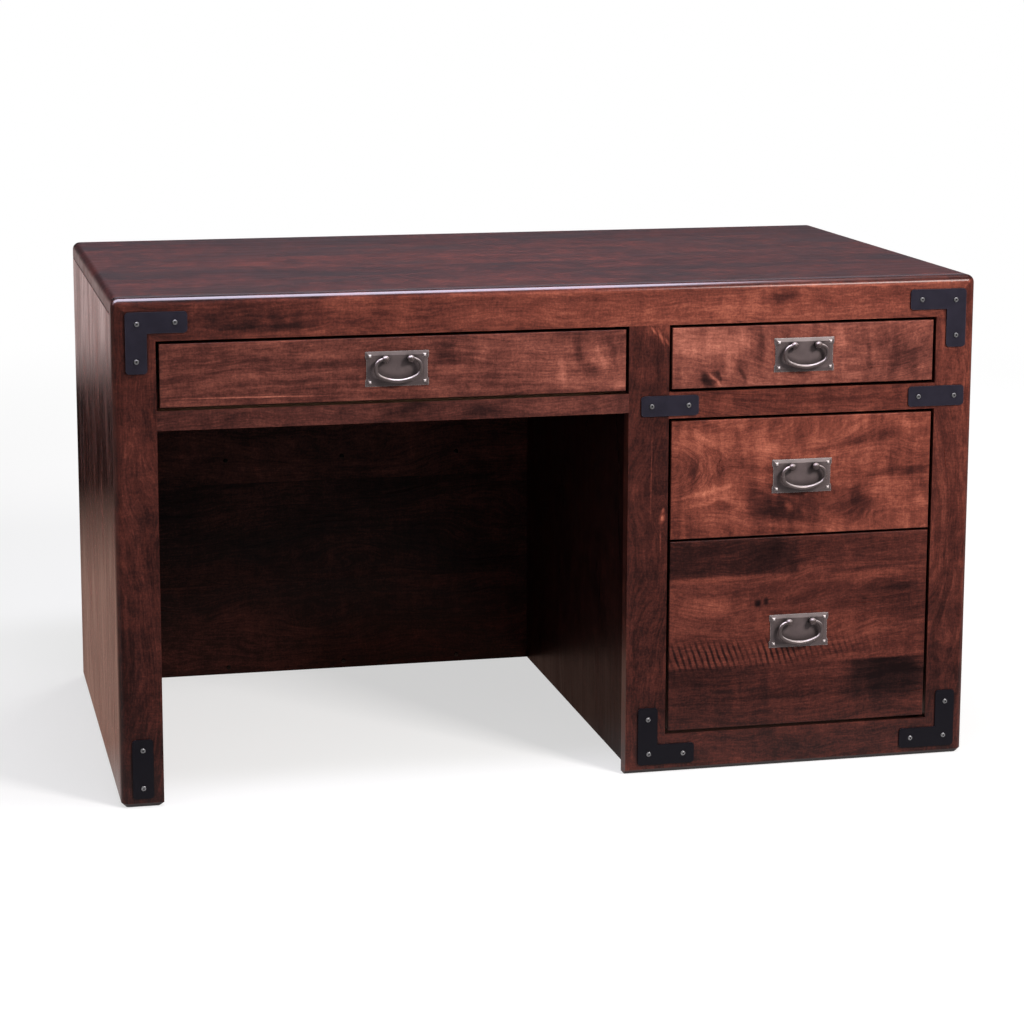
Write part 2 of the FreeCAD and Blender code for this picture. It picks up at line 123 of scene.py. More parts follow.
class Shader:
    """A material's node tree, with short calls for the nodes that the finishes use."""

    def __init__(self, name):
        self.material = bpy.data.materials.new(name)
        self.material.use_nodes = True
        self.tree = self.material.node_tree
        self.tree.nodes.clear()
        self.output = self.tree.nodes.new("ShaderNodeOutputMaterial")

    def plug(self, socket, value):
        if isinstance(value, bpy.types.NodeSocket):
            self.tree.links.new(value, socket)
        elif isinstance(value, tuple) and len(value) == 3 and socket.type == "RGBA":
            socket.default_value = (*value, 1.0)
        else:
            socket.default_value = value

    def add(self, kind, inputs=None, **settings):
        node = self.tree.nodes.new(kind)
        for key, value in settings.items():
            setattr(node, key, value)
        for key, value in (inputs or {}).items():
            self.plug(node.inputs[key], value)
        return node

    def coordinates(self, kind="Object"):
        return self.add("ShaderNodeTexCoord").outputs[kind]

    def axes(self, vector):
        return self.add("ShaderNodeSeparateXYZ", {0: vector}).outputs

    def point(self, x=0.0, y=0.0, z=0.0):
        return self.add("ShaderNodeCombineXYZ", {0: x, 1: y, 2: z}).outputs[0]

    def math(self, operation, a, b=0.0):
        return self.add("ShaderNodeMath", {0: a, 1: b}, operation=operation).outputs[0]

    def plus(self, level, value, amount):
        """The level with an amount of a value added."""
        return self.math("ADD", level, self.math("MULTIPLY", value, amount))

    def vector(self, operation, a, b=(0.0, 0.0, 0.0)):
        node = self.add("ShaderNodeVectorMath", {0: a, 1: b}, operation=operation)
        return node.outputs["Value" if operation in ("LENGTH", "DOT_PRODUCT") else "Vector"]

    def noise(self, vector, scale=1.0, detail=2.0, roughness=0.5, distortion=0.0):
        inputs = {"Vector": vector, "Scale": scale, "Detail": detail, "Roughness": roughness,
                  "Distortion": distortion}
        return self.add("ShaderNodeTexNoise", inputs).outputs["Fac"]

    def spread(self, value, low, high, to_low=0.0, to_high=1.0, smooth=True):
        inputs = {"Value": value, "From Min": low, "From Max": high, "To Min": to_low, "To Max": to_high}
        kind = "SMOOTHSTEP" if smooth else "LINEAR"
        return self.add("ShaderNodeMapRange", inputs, interpolation_type=kind).outputs[0]

    def window(self, value, low, high, soft):
        """One between low and high, with soft borders."""
        rise = self.spread(value, low - soft, low + soft)
        fall = self.spread(value, high + soft, high - soft)
        return self.math("MULTIPLY", rise, fall)

    def open_sky(self, reach, samples):
        """One in the open, and less where other surfaces stand within reach."""
        return self.add("ShaderNodeAmbientOcclusion", {"Distance": reach}, samples=samples).outputs["AO"]

    def arrises(self, radius):
        """One along the arrises of a piece and nought on its faces."""
        rounded = self.add("ShaderNodeBevel", {"Radius": radius}, samples=ARRIS_SAMPLES).outputs[0]
        true = self.add("ShaderNodeNewGeometry").outputs["Normal"]
        return self.spread(self.vector("DOT_PRODUCT", rounded, true), *ARRIS_SPAN)

    def bump(self, height, depth, strength):
        inputs = {"Strength": strength, "Distance": depth, "Height": height}
        return self.add("ShaderNodeBump", inputs).outputs[0]

    def ramp(self, value, stops):
        node = self.add("ShaderNodeValToRGB", {0: value})
        elements = node.color_ramp.elements
        while len(elements) < len(stops):
            elements.new(0.5)
        for element, (place, colour) in zip(elements, stops):
            element.position = place
            element.color = (*colour, 1.0)
        return node.outputs["Color"]

    def blend(self, share, a, b):
        return self.add("ShaderNodeMix", {0: share, 6: a, 7: b}, data_type="RGBA").outputs[2]

    def principled(self, inputs):
        return self.finish(self.add("ShaderNodeBsdfPrincipled", inputs).outputs[0])

    def emission(self, colour, strength):
        return self.add("ShaderNodeEmission", {"Color": colour, "Strength": strength}).outputs[0]

    def finish(self, surface):
        self.tree.links.new(surface, self.output.inputs["Surface"])
        return self.material


def figure(s, vector, repeats, detail=2.0, roughness=0.5, distortion=0.0):
    """Noise stretched along the grain, spread to run from -1 to 1."""
    value = s.noise(s.vector("MULTIPLY", vector, repeats), 1.0, detail, roughness, distortion)
    return s.spread(value, *NOISE_SPAN, -1.0, 1.0)


def oval(s, flat, place, size, turn, ragged=0.0):
    """Distance from a soft oval's middle, one at its edge, and its mask."""
    inputs = {"Vector": flat, "Location": (*place, 0.0), "Rotation": (0.0, 0.0, turn), "Scale": (*size, 1.0)}
    local = s.add("ShaderNodeMapping", inputs, vector_type="TEXTURE").outputs[0]
    reach = s.math("ADD", s.vector("LENGTH", local), ragged)
    return reach, s.spread(reach, 1.0, OVAL_FULL)


def maple(name, along, across, tone, seed=0.0, cloud=0.08, mottle=0.05, bars=0.03, streaks=0.06, fibre=0.075,
          flow=0.022, joints=(), knots=(), patches=(), lines=(), staves=(), curls=(), colours=MAPLE,
          gloss=0.34, polish=0.04, specular=0.2, lacquer=0.08, coat_roughness=0.2):
    """A maple board, with the grain along one axis and its face across the other.

    Tones run from 0 to 1 over the colours. Marks are placed in metres along the grain and across it. Knots,
    patches and lines are soft ovals: place, half size, turn and change of tone. A patch may end with the two
    places across the grain where it is cut off. Staves are from and to along the grain, from and to across
    it, and change of tone. Curls are ovals whose stripes have a pitch, a slant and a change of tone.
    """
    s = Shader(name)
    axes = s.axes(s.coordinates())
    into = ({"X", "Y", "Z"} - {along, across}).pop()
    u, v, w = axes[along], axes[across], axes[into]
    flat = s.point(u, v)

    # Glued-up boards: each past a joint takes its own stretch of timber
    u_own, v_own = s.math("ADD", u, seed), v
    if joints:
        board = 0.0
        for joint in joints:
            board = s.math("ADD", s.math("GREATER_THAN", v, joint), board)
        step = s.math("MULTIPLY", board, BOARD_STEP)
        u_own, v_own = s.math("ADD", u_own, step), s.math("ADD", v, step)
    timber = s.point(u_own, v_own, w)

    # Grain that wanders, and rings round the knots
    sway = s.plus(s.math("MULTIPLY", figure(s, timber, BEND), flow), figure(s, timber, RIPPLE), RIPPLE_SWAY)
    slip = s.math("MULTIPLY", figure(s, timber, SLIP), SLIP_REACH)
    grain = s.vector("ADD", timber, s.point(y=sway))
    soft_flat = s.vector("ADD", flat, s.point(slip, s.math("MULTIPLY", sway, PATCH_SWAY)))
    core = 0.0
    for place, size, turn, amount in knots:
        reach, mask = oval(s, soft_flat, place, size, turn)
        rings = s.point(u_own, s.math("MULTIPLY", reach, size[1]), v)
        share = s.math("MULTIPLY", mask, KNOT_HOLD)
        grain = s.add("ShaderNodeMix", {0: share, 4: grain, 5: rings}, data_type="VECTOR").outputs[1]
        core = s.plus(core, s.spread(reach, KNOT_CORE, 0.0), amount)

    # Figure of every size
    wide = figure(s, grain, CLOUDS, detail=3.0, roughness=0.55, distortion=0.4)
    spots = figure(s, grain, SPOTS, detail=3.0, roughness=0.6, distortion=0.3)
    cross = figure(s, timber, BARS, distortion=0.4)
    long = figure(s, grain, STREAKS, detail=3.0, roughness=0.55)
    fine = figure(s, grain, FIBRES, detail=3.0, roughness=0.7)
    weave = figure(s, timber, WEAVE, roughness=0.7)
    specks = figure(s, timber, SPECKS, roughness=0.7)
    level = tone
    for value, amount in ((wide, cloud), (spots, mottle), (cross, bars), (long, streaks), (fine, fibre),
                          (weave, WEAVE_SHARE * fibre), (specks, SPECK_SHARE * fibre)):
        level = s.plus(level, value, amount)

    # Marks of this board
    level = s.math("ADD", level, core)
    for u_0, u_1, v_0, v_1, amount in staves:
        length = s.window(u, u_0, u_1, STAVE_SOFT_ALONG)
        width = s.window(v, v_0, v_1, STAVE_SOFT_ACROSS)
        level = s.plus(level, s.math("MULTIPLY", length, width), amount)
    ragged = s.math("MULTIPLY", s.math("ADD", long, spots), RAGGED)
    for place, size, turn, amount, *cut in patches:
        mask = oval(s, soft_flat, place, size, turn, ragged)[1]
        if cut:
            mask = s.math("MULTIPLY", mask, s.window(v, *cut, CUT_SOFT))
        level = s.plus(level, mask, amount)
    for place, size, turn, amount in lines:
        level = s.plus(level, oval(s, flat, place, size, turn)[1], amount)
    for place, size, turn, pitch, slant, amount in curls:
        mask = oval(s, soft_flat, place, size, turn)[1]
        phase = s.plus(s.plus(u, v, slant), slip, CURL_SLIP)
        wave = s.math("SINE", s.math("MULTIPLY", phase, 2.0 * math.pi / pitch))
        wave = s.math("POWER", s.spread(wave, -1.0, 1.0), CURL_SHARP)
        wave = s.math("MULTIPLY", wave, s.spread(cross, *CURL_BARS, CURL_LEAST, 1.0))
        level = s.plus(level, s.math("MULTIPLY", wave, mask), amount)
    if joints:
        own = s.add("ShaderNodeTexWhiteNoise", {"W": s.math("ADD", board, seed)}, noise_dimensions="1D")
        tones = s.spread(own.outputs["Value"], 0.0, 1.0, -BOARD_TONE, BOARD_TONE, smooth=False)
        level = s.math("ADD", level, tones)

    # Pores, arrises lightened as rubbed wear and painted highlight, and painted shade near the gaps
    pores = s.spread(s.noise(s.vector("MULTIPLY", grain, PORES), detail=1.0), *PORE_SPAN)
    level = s.math("SUBTRACT", level, s.math("MULTIPLY", pores, PORE_TONE))
    level = s.plus(level, s.arrises(ARRIS_R), ARRIS_WEAR_AND_HIGHLIGHT)
    level = s.math("SUBTRACT", level, s.spread(s.open_sky(GAP_SHADE_REACH, GAP_SHADE_SAMPLES), *GAP_SHADE_SPAN, 0.0, GAP_SHADE))

    # Lacquer
    rough = s.plus(s.plus(gloss, s.math("ADD", wide, long), polish), pores, PORE_ROUGH)
    peel = s.noise(timber, PEEL, detail=1.0)
    height = s.plus(s.math("MULTIPLY", fine, FIBRE_RELIEF), peel, PEEL_RELIEF)
    return s.principled({"Base Color": s.ramp(level, colours), "Roughness": rough,
                         "Normal": s.bump(height, RELIEF, RELIEF_STRENGTH), "Specular IOR Level": specular,
                         "Coat Weight": lacquer, "Coat Roughness": coat_roughness})


# Metal: repeats of its clouds in a metre, and their share of the tone and the gloss
METAL_CLOUDS = 55.0
METAL_CLOUD_SPAN = (0.3, 0.7)
METAL_DULL = 0.80
METAL_CLOUD_ROUGH = 0.25

# Where grit lets an edge be rubbed, how far up a bevel faces for its painted highlight, and recesses,
# darkened as patina and painted shade, with their reach in metres
RUB_SPAN = (0.25, 0.6)
RUB_GLOSS = 0.12
UPWARD_HIGHLIGHT_SPAN = (0.30, 0.75)
RECESS_SHADE_SPAN = (0.50, 0.98)
RECESS_SHADE_REACH = 0.011
RECESS_SHADE_SAMPLES = 6

# Heights over which the painted shade at the foot gives way to the plain tone, in metres
FOOT_SHADE_SPAN = (0.05, 0.60)

# Heads that stand above a pull plate's face: how high, the depth their painted highlight grows over, and how
# bright it is
STUD_HIGH = 0.0020
STUD_DEPTH = 0.0012
STUD_HIGHLIGHT = 0.5

# What lies behind the rear plane, such as the back panel's screws, and the depth it turns black over
REAR_DEPTH = 0.01
REAR_BLACK = (0.004, 0.003, 0.003)

# Relief of the cast or rolled grain, in metres
GRIT_RELIEF = 0.0003
GRIT_STRENGTH = 0.25


def metal(name, colour, worn_and_highlight, roughness, grit_repeats, metallic=1.0, edge=0.0010, specular=0.5, patina_and_shade=0.25,
          foot=1.0, proud=None, rear=None, upward_highlight=0.0):
    """Dull metal: cloudy tone and gloss, a fine cast or rolled grain, rubbed edges, and recesses darkened as
    patina and painted shade.

    Low on the desk the tone falls to its foot share as painted shade, what stands proud of a plane along -Y
    takes a painted highlight, what lies behind the rear plane is black, and bevels that face up take a share
    of the rubbed tone as a painted highlight.
    """
    s = Shader(name)
    place = s.coordinates()
    axes = s.axes(place)
    clouds = s.noise(place, METAL_CLOUDS, detail=4.0, roughness=0.6)
    grit = s.noise(place, grit_repeats, roughness=0.6)
    rubbed = s.math("MULTIPLY", s.arrises(edge), s.spread(grit, *RUB_SPAN))
    dull, dark, low = (tuple(share * c for c in colour) for share in (METAL_DULL, patina_and_shade, foot))
    base = s.blend(s.spread(clouds, *METAL_CLOUD_SPAN), dull, colour)
    base = s.blend(rubbed, base, worn_and_highlight)
    # Painted highlight: faces that turn upward take the rubbed tone.
    if upward_highlight:
        upward = s.axes(s.coordinates("Normal"))["Z"]
        base = s.blend(s.spread(upward, *UPWARD_HIGHLIGHT_SPAN, 0.0, upward_highlight), base, worn_and_highlight)
    # Painted shade: the tone falls low on the desk, where less light reaches.
    if foot < 1.0:
        base = s.blend(s.spread(axes["Z"], *FOOT_SHADE_SPAN), low, base)
    # Patina and painted shade: recesses, and spots close to other parts such as the plate under the bail,
    # turn dark.
    base = s.blend(s.spread(s.open_sky(RECESS_SHADE_REACH, RECESS_SHADE_SAMPLES), *RECESS_SHADE_SPAN), dark, base)
    # Painted highlight: heads that stand proud of the plate face turn bright.
    if proud is not None:
        base = s.blend(s.spread(axes["Y"], proud, proud - STUD_DEPTH, 0.0, STUD_HIGHLIGHT), base, worn_and_highlight)
    if rear is not None:
        base = s.blend(s.spread(axes["Y"], rear, rear + REAR_DEPTH), base, REAR_BLACK)
    rough = s.plus(roughness, s.math("SUBTRACT", clouds, 0.5), METAL_CLOUD_ROUGH)
    rough = s.math("SUBTRACT", rough, s.math("MULTIPLY", rubbed, RUB_GLOSS))
    return s.principled({"Base Color": base, "Roughness": rough, "Metallic": metallic,
                         "Normal": s.bump(grit, GRIT_RELIEF, GRIT_STRENGTH), "Specular IOR Level": specular})


def paint(material, *names):
    """Puts one material on every slot of the nodes."""
    for name in names:
        slots = nodes[name].data.materials
        for i in range(len(slots)):
            slots[i] = material


def paint_rails():
    """Rails of the face frame; the top rail has the rounded edge that catches the window light."""
    # The broad darker patch at the left and the lighter one to its right are partly wood and partly painted
    # light from the right; the two thin lighter lines low on the rounded edge are painted highlights.
    patches = [((-0.45, 0.717), (0.15, 0.010), -0.02, -0.13), ((-0.42, 0.729), (0.085, 0.007), 0.0, -0.08),
               ((-0.187, 0.735), (0.05, 0.02), 0.0, -0.08), ((0.350, 0.738), (0.040, 0.014), 0.2, -0.22),
               ((0.20, 0.715), (0.46, 0.050), 0.0, 0.14), ((-0.62, 0.735), (0.34, 0.08), 0.0, -0.22),
               ((-0.02, 0.7525), (0.36, 0.008), 0.0, 0.14), ((0.48, 0.7505), (0.28, 0.0035), 0.0, 0.16)]
    # The upper part of the rounded edge is darkened: partly the worktop's own tone, partly a painted dark
    # reflection.
    rounded_edge_shade = (-1.0, 1.0, 0.756, 1.0, -0.24)
    dark_dash = ((0.284, 0.701), (0.008, 0.0014), 0.0, -0.25)
    paint(maple("frame_maple_top_rail", "X", "Z", tone=0.49, seed=3.1, cloud=0.05, flow=0.008,
                patches=patches, staves=[rounded_edge_shade], lines=[dark_dash], lacquer=1.0, coat_roughness=0.09),
          "top_rail")

    patches = [((-0.233, 0.587), (0.045, 0.012), 0.3, -0.16), ((-0.119, 0.580), (0.06, 0.014), 0.0, -0.12),
               ((0.02, 0.582), (0.14, 0.02), 0.0, 0.10)]
    paint(maple("frame_maple_knee_rail", "X", "Z", tone=0.36, seed=9.4, cloud=0.05, streaks=0.03,
                patches=patches, colours=SHEENED_MAPLE), "knee_rail")

    paint(maple("frame_maple_middle_rail", "X", "Z", tone=0.45, seed=5.7, cloud=0.04, streaks=0.05),
          "middle_rail")
    # The bottom rail's low tone is partly wood and partly painted shade, for the lesser light low on the
    # front.
    paint(maple("frame_maple_bottom_rail", "X", "Z", tone=0.31, seed=7.9, cloud=0.07, streaks=0.03),
          "bottom_rail")


def paint_stiles():
    """Stiles of the face frame; the centre one has a knot and pale strokes."""
    # Painted shade: darker towards the foot, where less light falls.
    shaded_foot = ((0.05, -0.63), (0.30, 0.08), 0.0, -0.05)
    paint(maple("frame_maple_left_stile", "Z", "X", tone=0.29, seed=1.3, cloud=0.06, streaks=0.04,
                patches=[shaded_foot]), "left_stile")

    knot = ((0.399, 0.161), (0.040, 0.014), 0.0, 0.20)
    lines = [((0.465, 0.1465), (0.09, 0.0018), 0.01, 0.22), ((0.366, 0.1620), (0.036, 0.0022), -0.02, 0.22),
             ((0.691, 0.148), (0.011, 0.0030), -0.58, 0.32), ((0.682, 0.159), (0.020, 0.0040), -0.38, 0.36),
             ((0.6735, 0.169), (0.013, 0.0030), -0.55, 0.32), ((0.415, 0.166), (0.007, 0.0035), 0.3, 0.26)]
    patches = [((0.399, 0.161), (0.019, 0.0065), 0.1, 0.34), ((0.700, 0.150), (0.020, 0.06), 0.0, 0.13),
               ((0.690, 0.172), (0.022, 0.016), -0.4, 0.10)]
    paint(maple("frame_maple_center_stile", "Z", "X", tone=0.30, seed=4.2, cloud=0.05, streaks=0.04,
                knots=[knot], lines=lines, patches=patches), "center_stile")

    # Painted shade: darker towards the foot, where less light falls.
    shaded_foot = ((0.08, 0.63), (0.34, 0.06), 0.0, -0.19)
    paint(maple("frame_maple_right_stile", "Z", "X", tone=0.43, seed=6.6, cloud=0.05, patches=[shaded_foot]),
          "right_stile")


def paint_pencil_front():
    patches = [((-0.45, 0.669), (0.07, 0.010), -0.02, -0.10), ((-0.172, 0.668), (0.030, 0.034), 0.3, -0.20),
               ((-0.160, 0.640), (0.03, 0.014), 0.0, 0.14), ((-0.120, 0.668), (0.020, 0.030), 0.0, 0.12),
               ((0.028, 0.665), (0.014, 0.036), 0.2, -0.22), ((0.045, 0.636), (0.014, 0.022), 0.2, -0.18),
               ((0.082, 0.663), (0.010, 0.036), 0.0, -0.16), ((0.088, 0.611), (0.018, 0.012), 0.0, 0.22),
               ((0.02, 0.645), (0.17, 0.06), 0.0, 0.13), ((0.000, 0.630), (0.012, 0.040), 0.2, 0.14),
               ((0.062, 0.655), (0.009, 0.036), 0.1, 0.14), ((-0.35, 0.655), (0.20, 0.008), 0.0, -0.09),
               ((-0.40, 0.630), (0.18, 0.006), 0.01, -0.07), ((-0.090, 0.628), (0.05, 0.010), 0.0, -0.10)]
    pale_line = ((-0.455, 0.6120), (0.17, 0.0018), -0.012, 0.34)
    paint(maple("front_maple_pencil", "X", "Z", tone=0.475, seed=2.2, cloud=0.05, streaks=0.075, bars=0.025,
                flow=0.010, patches=patches, lines=[pale_line], colours=SHEENED_MAPLE), "pencil_front")


def paint_upper_front():
    patches = [((0.228, 0.608), (0.017, 0.024), 0.3, -0.40), ((0.248, 0.616), (0.010, 0.014), 0.3, -0.30),
               ((0.241, 0.611), (0.004, 0.022), 0.6, 0.26), ((0.277, 0.642), (0.018, 0.036), 0.0, 0.16),
               ((0.291, 0.622), (0.008, 0.026), 0.0, -0.20), ((0.312, 0.660), (0.010, 0.034), 0.1, -0.18),
               ((0.491, 0.653), (0.010, 0.05), 0.0, -0.16), ((0.449, 0.674), (0.018, 0.028), 0.0, 0.18),
               ((0.24, 0.665), (0.08, 0.034), 0.0, 0.12), ((0.55, 0.645), (0.08, 0.05), 0.0, -0.18)]
    paint(maple("front_maple_upper", "X", "Z", tone=0.605, seed=8.3, cloud=0.06, streaks=0.03, bars=0.06,
                patches=patches, colours=SHEENED_MAPLE), "upper_front")


def paint_middle_front():
    knot = ((0.166, 0.480), (0.105, 0.085), 0.0, -0.10)
    patches = [((0.210, 0.474), (0.012, 0.034), 0.0, -0.22), ((0.224, 0.528), (0.06, 0.032), 0.0, 0.16),
               ((0.240, 0.425), (0.07, 0.026), 0.35, 0.20), ((0.358, 0.402), (0.080, 0.046), 0.2, -0.24),
               ((0.474, 0.404), (0.055, 0.032), 0.0, -0.13), ((0.50, 0.513), (0.11, 0.016), 0.1, -0.12),
               ((0.558, 0.522), (0.034, 0.014), 0.0, 0.16), ((0.55, 0.455), (0.06, 0.02), 0.1, -0.16),
               ((0.33, 0.515), (0.05, 0.04), 0.0, 0.12), ((0.52, 0.43), (0.06, 0.03), 0.4, 0.10),
               ((0.364, 0.406), (0.010, 0.014), 0.4, 0.26), ((0.235, 0.430), (0.075, 0.007), 0.2, 0.14),
               ((0.235, 0.412), (0.06, 0.006), 0.25, 0.12), ((0.40, 0.42), (0.14, 0.06), 0.0, -0.09)]
    paint(maple("front_maple_middle", "X", "Z", tone=0.555, seed=0.7, cloud=0.07, streaks=0.04, bars=0.07,
                mottle=0.06, flow=0.035, knots=[knot], patches=patches), "middle_front")


# Joints across the file drawer's front, which is glued up from three boards
FILE_LOW_JOINT = 0.163
FILE_TOP_JOINT = 0.307
FILE_TOP_JOINT_RIGHT = 0.318


def paint_file_front():
    """Front of the file drawer, with its curl across the middle board."""
    staves = [(0.10, 0.384, FILE_TOP_JOINT, 0.40, -0.17), (0.384, 0.70, FILE_TOP_JOINT_RIGHT, 0.40, -0.06),
              (0.10, 0.340, 0.0, FILE_LOW_JOINT, -0.13), (0.340, 0.70, 0.0, FILE_LOW_JOINT, -0.08)]
    patches = [((0.335, 0.338), (0.042, 0.030), 0.2, -0.10), ((0.250, 0.302), (0.10, 0.007), 0.03, 0.16),
               ((0.492, 0.292), (0.11, 0.012), 0.03, 0.14), ((0.242, 0.262), (0.08, 0.022), 0.05, 0.18),
               ((0.313, 0.264), (0.010, 0.008), 0.4, -0.40), ((0.328, 0.266), (0.006, 0.007), 0.0, -0.36),
               ((0.553, 0.271), (0.055, 0.008), 0.05, -0.22), ((0.50, 0.303), (0.10, 0.006), 0.03, -0.16),
               ((0.530, 0.138), (0.095, 0.070), 0.15, -0.32, 0.0, FILE_LOW_JOINT),
               ((0.56, 0.24), (0.09, 0.05), 0.0, -0.10), ((0.275, 0.125), (0.06, 0.006), 0.0, -0.10),
               ((0.40, 0.215), (0.26, 0.045), 0.0, 0.10), ((0.25, 0.186), (0.20, 0.03), 0.0, 0.06)]
    curl = ((0.27, 0.186), (0.29, 0.037), 0.0, 0.0095, 0.38, -0.38)
    paint(maple("front_maple_file", "X", "Z", tone=0.395, seed=5.1, cloud=0.04, streaks=0.055, bars=0.03,
                mottle=0.03, staves=staves, patches=patches, curls=[curl]), "file_front")


def paint_panels():
    paint(maple("top_maple", "X", "Y", tone=0.205, seed=1.9, cloud=0.07, mottle=0.07, streaks=0.05, bars=0.05,
                fibre=0.12, joints=[-0.20, -0.06, 0.10, 0.24], gloss=0.35, polish=0.045, lacquer=0.15,
                coat_roughness=0.25), "top_panel")
    paint(maple("panel_maple_end", "Z", "Y", tone=0.37, seed=2.9, cloud=0.06, streaks=0.14,
                joints=[-0.16, 0.03, 0.22], gloss=0.24, polish=0.07, specular=0.5, lacquer=0.15),
          "left_end_panel", "right_end_panel")
    # The inner panel's near-black tone is painted shade, for the shade deep in the kneehole.
    paint(maple("panel_maple_inner_shaded", "Z", "Y", tone=0.08, seed=3.9, cloud=0.04, streaks=0.03, specular=0.02,
                lacquer=0.0), "pedestal_inner_panel")
    # The back panel's low tone is partly wood and partly painted shade, for the shade in the kneehole.
    paint(maple("panel_maple_back", "X", "Z", tone=0.225, seed=4.9, cloud=0.07, streaks=0.05, colours=SHEENED_MAPLE,
                joints=[0.16, 0.34, 0.55], specular=0.1, lacquer=0.0), "back_panel")
    paint(maple("panel_maple_back_rails", "X", "Z", tone=0.34, seed=6.1), "back_rails")
    paint(maple("panel_maple_back_stiles", "Z", "X", tone=0.34, seed=6.9), "back_stiles")


def paint_drawer_boxes():
    sides = maple("drawer_maple", "Y", "Z", tone=0.60, seed=0.3, colours=PALE, lacquer=0.2)
    back = maple("drawer_maple_back", "X", "Z", tone=0.60, seed=1.1, colours=PALE, lacquer=0.2)
    ply = maple("drawer_ply", "Y", "X", tone=0.68, seed=2.7, colours=PALE, lacquer=0.2)
    paint(maple("packer_wood", "Y", "Z", tone=0.45, seed=3.3, streaks=0.10, colours=PALE, lacquer=0.0),
          "slide_packers")
    for name in DRAWERS:
        paint(sides, name + "_left_side", name + "_right_side")
        paint(back, name + "_back")
        paint(ply, name + "_bottom")


def paint_metalwork():
    # Brackets and straps take painted shade low on the desk.
    paint(metal("black_steel", (0.019, 0.017, 0.027), (0.07, 0.06, 0.085), roughness=0.50, grit_repeats=900.0,
                metallic=0.0, specular=0.2, foot=0.3), "corner_brackets", "straps")
    # Screw heads take a painted highlight on their tops.
    paint(metal("screw_steel", (0.25, 0.25, 0.26), (0.80, 0.80, 0.82), roughness=0.22, grit_repeats=1400.0,
                metallic=0.6, edge=0.0006, rear=0.0, upward_highlight=0.7), "screws")
    # Pulls: upward faces of plates, knobs and bails take painted highlights, and the bail's lighter tone is
    # partly rubbed wear and partly painted highlight.
    plate_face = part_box("pencil_pull_plate")[0][1] + STUD_HIGH
    plate = metal("pull_pewter", (0.128, 0.098, 0.098), (0.92, 0.83, 0.80), roughness=0.34,
                  grit_repeats=1100.0, metallic=0.2, patina_and_shade=0.10, proud=plate_face, upward_highlight=0.95)
    knob = metal("pull_pewter_knobs", (0.130, 0.100, 0.097), (0.70, 0.63, 0.62), roughness=0.24,
                 grit_repeats=1100.0, metallic=0.5, patina_and_shade=0.15, upward_highlight=0.6)
    bail = metal("pull_pewter_rubbed_and_highlit", (0.165, 0.132, 0.130), (0.76, 0.68, 0.67), roughness=0.24,
                 grit_repeats=1100.0, metallic=0.5, patina_and_shade=0.15, upward_highlight=0.9)
    zinc = metal("slide_zinc", (0.50, 0.51, 0.53), (0.70, 0.70, 0.72), roughness=0.36, grit_repeats=700.0)
    paint(zinc, "slide_case_members")
    for name in DRAWERS:
        paint(zinc, name + "_slide_middles", name + "_slide_drawer_members")
        paint(plate, name + "_pull_plate")
        paint(knob, name + "_pull_posts")
        paint(bail, name + "_bail")


# Stage, in metres: a floor whose shadow fades to white away from the desk, and the even light on surfaces
WHITE = (1.0, 1.0, 1.0)
AMBIENT = 0.34
RING_STEPS = 96
FLOOR_RINGS = (0.0005, 1.0, 6.0, 40.0)
FLOOR_SEEN = (0.95, 0.95, 0.95)
FLOOR_BOUNCE = (0.40, 0.40, 0.40)
FADE_NEAR = 1.6
FADE_FAR = 4.5
FADE_LEAST = 0.60

# The floor that the pedestal covers, where no white is added
UNDER_X = (0.17, 0.62)
UNDER_Y = (-0.33, 0.30)
UNDER_SOFT = 0.01

# The dim room that only gloss shows: its radii and height, and where its wall and its ceiling start
ROOM_RINGS = (0.001, 0.9, 2.0, 7.0)
ROOM_DROP = 0.01
ROOM_R = ROOM_RINGS[-1]
ROOM_H = 3.4
WALL_START = (0.1, 1.2)
CEILING_START = (3.1, ROOM_H)

# What gloss sees along Y, level with the floor: share of the room's depth, colour
ROOM_FLOOR = [(0.00, (0.04, 0.04, 0.04)), (0.447, (0.05, 0.05, 0.05)), (0.458, (0.55, 0.52, 0.52)),
              (0.474, (0.55, 0.52, 0.52)), (0.50, (0.42, 0.25, 0.20)), (0.58, (0.42, 0.25, 0.20)),
              (0.65, (0.005, 0.004, 0.004)), (0.75, (0.005, 0.004, 0.004)), (0.82, (0.72, 0.53, 0.51)),
              (1.00, (0.72, 0.53, 0.51))]

# Its wall: dark in front, lit behind the desk, and dim again past the desk's left part
ROOM_FRONT = (0.04, 0.04, 0.04)
ROOM_WALL = (0.205, 0.182, 0.210)
ROOM_BEHIND = (-1.0, 3.0)
ROOM_LEFT = (-0.5, -1.1)
ROOM_LEFT_SHARE = 0.15

# Its ceiling, for the gloss of the top edge: a strip of window light on the left, warm then dark beyond
CEILING_LIT = (9.0, 8.4, 10.6)
CEILING_WARM = (1.3, 0.75, 0.65)
CEILING_DARK = (0.05, 0.04, 0.045)
CEILING_FADE = (0.90, 1.30)
CEILING_WARM_FADE = (1.2, 2.2)
CEILING_FRONT = (-1.4, -0.8)
CEILING_REAR = (1.5, 0.7)
CEILING_TAPER = 0.14


def stage_object(name, verts, faces, material):
    """An object of the stage, which is no piece of the desk."""
    mesh = bpy.data.meshes.new(name)
    mesh.from_pydata(verts, [], faces)
    mesh.materials.append(material)
    obj = bpy.data.objects.new(name, mesh)
    bpy.context.scene.collection.objects.link(obj)
    return obj


